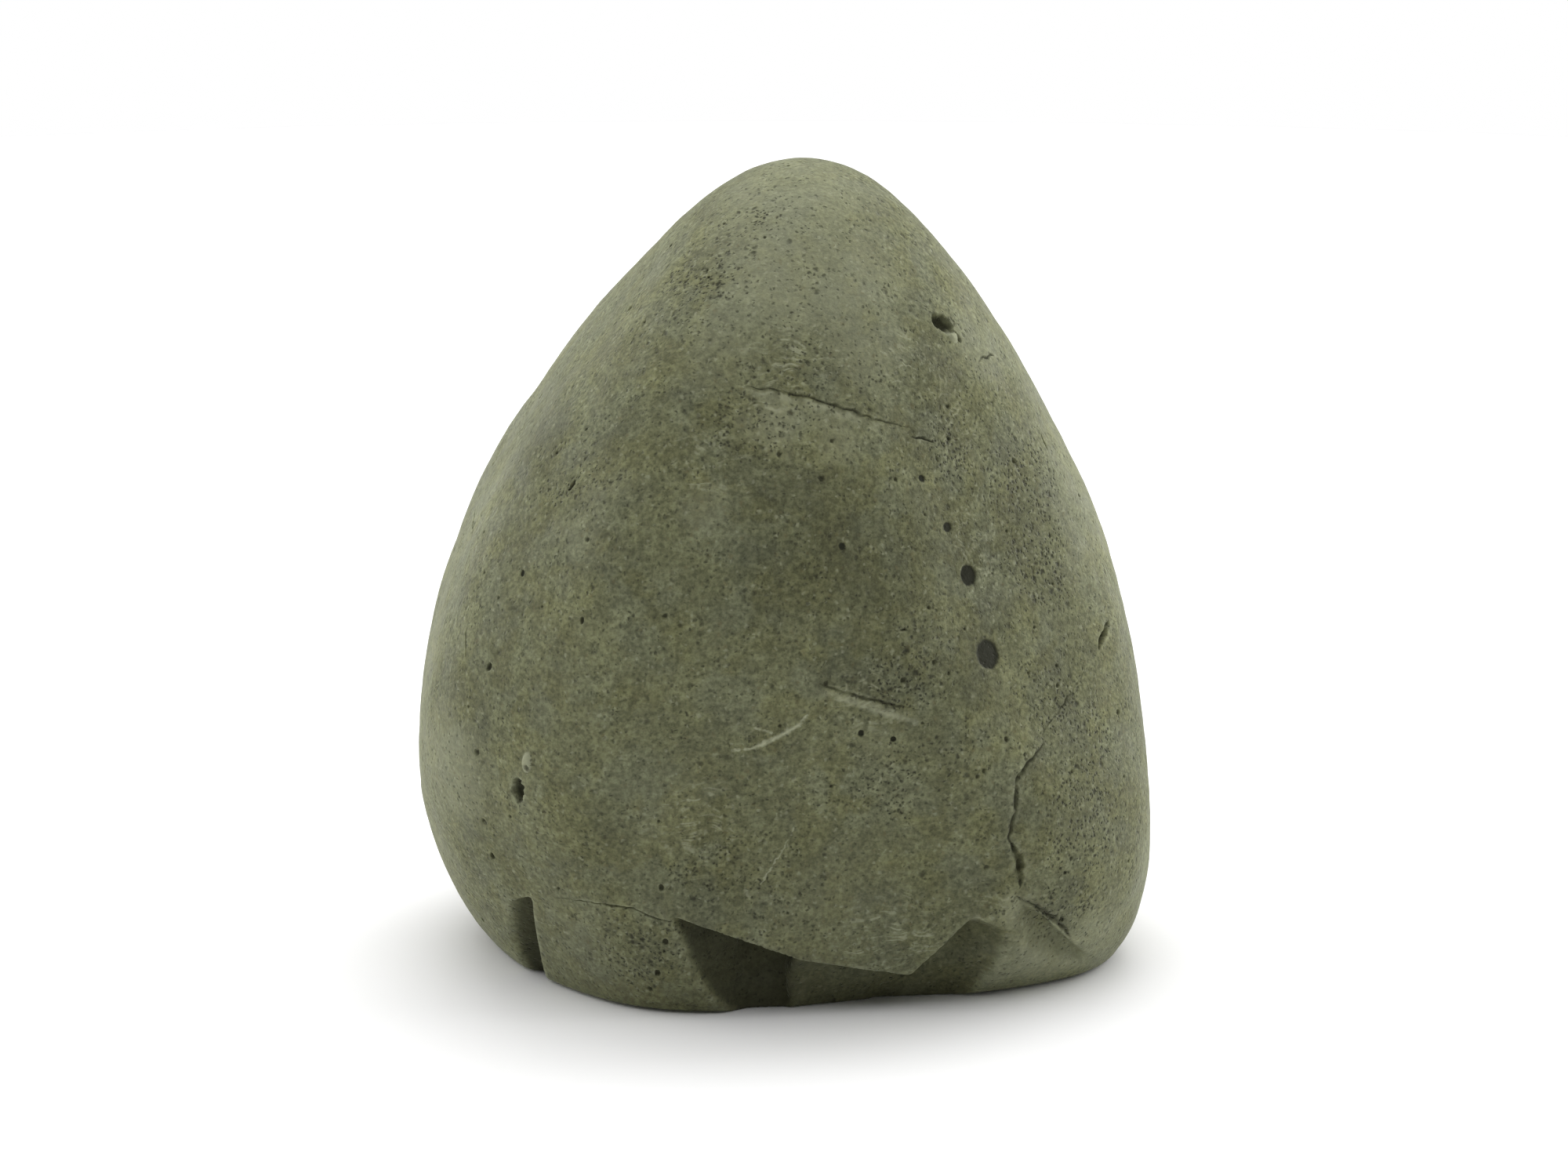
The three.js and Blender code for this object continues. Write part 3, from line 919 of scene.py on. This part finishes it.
def scratch_group():
    """A soft line between two points, as a node group: 1 on the line, 0 away from it."""
    tree = bpy.data.node_groups.new("scratch", "ShaderNodeTree")
    for name, kind in (("Position", "NodeSocketVector"), ("From", "NodeSocketVector"),
                       ("To", "NodeSocketVector"), ("Width", "NodeSocketFloat")):
        tree.interface.new_socket(name, in_out="INPUT", socket_type=kind)
    tree.interface.new_socket("Line", in_out="OUTPUT", socket_type="NodeSocketFloat")
    make = Nodes(tree)
    start = tree.nodes.new("NodeGroupInput").outputs
    run = make.vector("SUBTRACT", start["To"], start["From"])
    off = make.vector("SUBTRACT", start["Position"], start["From"])
    share = make.math("DIVIDE", make.vector("DOT_PRODUCT", off, run, 1),
                      make.vector("DOT_PRODUCT", run, run, 1), clamp=True)
    gap = make.vector("DISTANCE", off, make.scaled(run, share), 1)
    half = make.times(start["Width"], 0.5)
    line = make.step(gap, 0.0, half, 1.0, 0.0)
    make.put(tree.nodes.new("NodeGroupOutput").inputs[0], line)
    return tree


def scratch_marks(make, wandering, shift):
    """All the single scratches together."""
    tree = scratch_group()
    total = None
    for a, b, width, strength in SCRATCHES:
        node = make.tree.nodes.new("ShaderNodeGroup")
        node.node_tree = tree
        make.put(node.inputs["Position"], wandering)
        node.inputs["From"].default_value = (seat(a)[0] + shift).tolist()
        node.inputs["To"].default_value = (seat(b)[0] + shift).tolist()
        node.inputs["Width"].default_value = width
        mark = make.times(node.outputs[0], strength)
        total = mark if total is None else make.math("MAXIMUM", total, mark)
    return total


def strokes(make, position):
    """Fine, pale, nearly level strokes, turned to run round the stone on every side."""
    normal = make.add("NewGeometry", {}).outputs["Normal"]
    sideways = make.math("ABSOLUTE", make.add("SeparateXYZ", {0: normal}).outputs[0])
    side_share = make.step(sideways, *STROKE_TURN)
    lines = []
    for turn, sizes in (((0, 0.16, 0), (STROKE_LENGTH, STROKE_BREADTH, STROKE_BREADTH)),
                        ((0.1, 0, 0), (STROKE_BREADTH, STROKE_LENGTH, STROKE_BREADTH))):
        scale = tuple(1 / size for size in sizes)
        mapped = make.add("Mapping", {"Vector": position, "Rotation": turn, "Scale": scale})
        lines.append(make.step(make.noise(mapped.outputs[0], 1.0, 1), *STROKE_BOUNDS))
    front = make.times(lines[0], make.math("SUBTRACT", 1.0, side_share))
    return make.plus(front, make.times(lines[1], side_share))


def cloud_noises(make, position):
    """The clouds' noises, from the widest to the finest."""
    place = make.vector("ADD", position, (13.0, 55.0, 5.0))
    return [make.noise(place, size, 1) for size, _ in CLOUDS]


def bent(make, position):
    """The position, shaken a little, so that spots and scratches are ragged."""
    shake = make.add("TexNoise", {"Vector": position, "Scale": 1 / MARK_WANDER_SIZE,
                                  "Detail": 1.0})
    shaken = make.vector("SUBTRACT", shake.outputs["Color"], (0.5, 0.5, 0.5))
    return make.vector("ADD", position, make.scaled(shaken, MARK_WANDER))


def stone_spots(make, place, crowd):
    """Pinholes and pores painted dark with shade, pale crystals and rust specks."""
    many = make.step(crowd, 0.0, 1.0, *PINHOLE_SHARE)
    pinholes = make.specks(place, *PINHOLES, many)
    pores = make.specks(make.vector("ADD", place, (9.0, 4.0, 7.0)), *PORES,
                        make.times(many, PORE_SHARE))
    other, kind = make.cells(make.vector("ADD", place, (3.0, 8.0, 1.0)), *CRYSTALS)
    few = make.math("LESS_THAN", kind, make.times(many, CRYSTAL_SHARE))
    crystals = make.times(other, few)
    rust = make.times(other, make.math("GREATER_THAN", kind, RUST_ABOVE))
    holes = make.times(make.math("MAXIMUM", pinholes, pores),
                       make.step(crowd, 0.0, 1.0, *HOLE_DARKNESS))
    return holes, crystals, rust


def scuff_marks(make, position, clouds, scuffed):
    """Bundles of pale strokes where the stone is scuffed, and a few elsewhere."""
    swing = make.times(make.math("SUBTRACT", clouds[1], 0.5), STROKE_SWING)
    lifted = make.vector("ADD", position, make.add("CombineXYZ", {2: swing}).outputs[0])
    broken_up = make.times(strokes(make, lifted), make.step(clouds[2], 0.40, 0.60))
    return make.times(broken_up, make.plus(scuffed, STRAY_STROKES))


def tinted(make, position, clouds, level):
    """The stone's colour: olive with cooler and warmer patches, lighter and darker, times the
    level, which also carries painted light and shade.
    """
    cool = make.step(make.noise(position, COOL_SIZE, 3), *COOL_BOUNDS)
    warm_place = make.vector("ADD", position, (70.0, 20.0, 45.0))
    warm = make.step(make.noise(warm_place, WARM_SIZE, 3), *WARM_BOUNDS)
    colour = make.mix(cool, OLIVE, BLUE_GREY)
    colour = make.mix(warm, colour, BROWN)
    for cloud, (_, depth) in zip(clouds, CLOUDS):
        tone = make.step(cloud, 0.25, 0.75, 1 - depth, 1 + depth)
        level = make.times(level, tone)
    tone = make.add("CombineColor", {0: level, 1: level, 2: level}).outputs[0]
    return make.mix(1.0, colour, tone, "MULTIPLY")


def bumps(make, grit, clouds, broken, holes):
    """The surface's direction, from grit, the rubble of the broken faces and the holes."""
    rubble = make.times(clouds[2], make.plus(broken, PLAIN_RUBBLE))
    heights = make.plus(make.times(grit, GRIT_BUMP), make.times(rubble, RUBBLE_BUMP))
    heights = make.math("SUBTRACT", heights, make.times(holes, HOLE_BUMP))
    return make.add("Bump", {"Height": heights, "Strength": BUMP_STRENGTH,
                             "Distance": MM}).outputs[0]


def fill_stone_material(material, shift):
    """The stone's look; shift is the heart's place, in mm, in the mesh's coordinates."""
    tree = material.node_tree
    tree.nodes.clear()
    make = Nodes(tree)
    position = make.scaled(make.add("TexCoord", {}).outputs["Object"], 1 / MM)
    cavity_shade, broken, grime_and_shade, worn, grain, inlay, pitted, scuffed, stain_and_light = (
        make.attribute(name) for name in MASKS)
    clouds = cloud_noises(make, position)
    grit = make.noise(position, GRIT_SIZE, 2, GRIT_ROUGHNESS)
    wandering = bent(make, position)

    cloudy = make.step(clouds[1], 0.45, 0.75, 0.0, CROWDED_CLOUD)
    crowd = make.plus(pitted, cloudy, clamp=True)
    holes, crystals, rust = stone_spots(make, wandering, crowd)
    scratches = make.times(scratch_marks(make, wandering, shift),
                           make.step(clouds[2], 0.35, 0.55, 0.6, 1.0))
    scuffs = scuff_marks(make, position, clouds, scuffed)
    bruise = make.times(worn, make.step(clouds[2], 0.35, 0.65, 0.30, 0.90))

    # The darker and paler stains hold painted shade and painted highlights as well as real stains.
    darker = make.plus(make.math("MINIMUM", stain_and_light, 0.0), 1.0)
    pale_stain_and_highlight = make.math("MAXIMUM", stain_and_light, 0.0)
    # The grit's tone is painted shade in its low places and painted highlight on its peaks.
    level = make.times(darker, make.step(grit, 0.28, 0.72, *GRIT_SHADE_TONE))
    colour = tinted(make, position, clouds, level)
    # Each layer lies over those above it here: its mask, how strong it is and its colour. The pale
    # stains paint highlights, the grime paints shade as well as dirt, and the holes and the cavity
    # paint shade.
    for mask, strength, tint in (
        (pale_stain_and_highlight, 0.58, PALE), (rust, 0.35, RUST), (crystals, 0.32, PALE), (bruise, 0.42, PALE),
        (scuffs, 0.55, PALE), (grain, 0.60, PALE), (broken, 0.20, BROWN), (grime_and_shade, 0.78, DIRT_AND_SHADE),
        (holes, 1.0, HOLLOW_SHADE), (scratches, 1.0, PALE), (cavity_shade, 0.80, HOLLOW_SHADE),
        (inlay, 1.0, INLAY),
    ):
        colour = make.mix(make.times(mask, strength), colour, tint)

    matt = make.step(clouds[1], 0.3, 0.7, *MATT)
    hollows = make.times(make.math("MAXIMUM", broken, cavity_shade), HOLLOW_MATT)
    shader = make.add("BsdfPrincipled", {
        "Base Color": colour, "Roughness": make.plus(matt, hollows, clamp=True),
        "Normal": bumps(make, grit, clouds, broken, holes)})
    shader.inputs["Specular IOR Level"].default_value = 0.35
    shader.inputs["Specular Tint"].default_value = (1.0, 1.0, 0.78, 1)
    shader.inputs["Sheen Weight"].default_value = 0.18
    shader.inputs["Sheen Roughness"].default_value = 0.35
    shader.inputs["Sheen Tint"].default_value = (0.80, 0.85, 0.62, 1)
    out = tree.nodes.new("ShaderNodeOutputMaterial")
    tree.links.new(shader.outputs[0], out.inputs["Surface"])


# ---- floor, light and camera ----

FLOOR_RADIUS = 1.6            # metres
FLOOR_SIDES = 96
HORIZON_LIGHT = 1.0           # the surround is white at the horizon and dim overhead
OVERHEAD_LIGHT = 0.06
HORIZON_HEIGHT = (0.0, 0.27)  # where it starts and ends to dim, as the sine of the elevation
CAMERA_DISTANCE = 1.0195      # metres
CAMERA_ELEVATION = 14         # degrees
CAMERA_LENS = 93.42           # mm
CAMERA_SENSOR = 36            # mm wide
CAMERA_TARGET = Vector((0.0003, -0.0029, 0.093))

# Soft lights: azimuth and elevation, distance and size in metres, and power in watts.
LIGHTS = {
    "overhead": (0, 90, 3.0, 5.0, 130),
    "behind": (180, 58, 3.2, 3.0, 48),
    "left": (-100, 24, 2.4, 2.0, 25),
    "right": (100, 28, 2.4, 2.0, 21),
    "left edge": (-125, 4, 1.8, 1.2, 11),
    "right edge": (125, 14, 1.8, 1.2, 15),
}


def around(azimuth, elevation, distance):
    return CAMERA_TARGET + Vector(heading([azimuth, elevation]).tolist()) * distance


def aim(obj, place):
    obj.location = place
    obj.rotation_euler = (CAMERA_TARGET - place).to_track_quat("-Z", "Y").to_euler()
    bpy.context.collection.objects.link(obj)


def add_floor():
    mesh = bpy.data.meshes.new("floor_mesh")
    turns = [2 * math.pi * k / FLOOR_SIDES for k in range(FLOOR_SIDES)]
    rim = [(FLOOR_RADIUS * math.cos(turn), FLOOR_RADIUS * math.sin(turn), 0) for turn in turns]
    mesh.from_pydata(rim, [], [tuple(range(FLOOR_SIDES))])
    material = bpy.data.materials.new("pale_floor")
    material.use_nodes = True
    shader = material.node_tree.nodes["Principled BSDF"]
    shader.inputs["Base Color"].default_value = gray(0.90)
    shader.inputs["Roughness"].default_value = 0.95
    shader.inputs["Specular IOR Level"].default_value = 0.1
    mesh.materials.append(material)
    floor = bpy.data.objects.new("floor", mesh)
    bpy.context.collection.objects.link(floor)


def add_lights():
    world = bpy.data.worlds.new("studio")
    bpy.context.scene.world = world
    world.use_nodes = True
    make = Nodes(world.node_tree)
    direction = make.add("TexCoord", {}).outputs["Generated"]
    height = make.add("SeparateXYZ", {0: direction}).outputs[2]
    strength = make.step(height, *HORIZON_HEIGHT, HORIZON_LIGHT, OVERHEAD_LIGHT)
    background = world.node_tree.nodes["Background"]
    background.inputs["Color"].default_value = gray(1.0)
    make.put(background.inputs["Strength"], strength)
    for name, (azimuth, elevation, distance, size, power) in LIGHTS.items():
        light = bpy.data.lights.new(name, "AREA")
        light.energy = power
        light.size = size
        lamp = bpy.data.objects.new(name, light)
        lamp.visible_camera = False
        aim(lamp, around(azimuth, elevation, distance))


def add_camera():
    camera = bpy.data.cameras.new("camera")
    camera.lens = CAMERA_LENS
    camera.sensor_width = CAMERA_SENSOR
    camera.clip_start = 0.01
    camera.clip_end = 100
    obj = bpy.data.objects.new("camera", camera)
    aim(obj, around(0, CAMERA_ELEVATION, CAMERA_DISTANCE))
    bpy.context.scene.camera = obj


# ---- the scene ----

stone_finish = bpy.data.materials.new("volcanic_stone")
stone_finish.use_nodes = True
stone, heart_place = stone_object(stone_finish)
fill_stone_material(stone_finish, heart_place)
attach(stone, "root")
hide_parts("stone")

add_floor()
add_lights()
add_camera()
bpy.context.scene.view_settings.view_transform = "Standard"
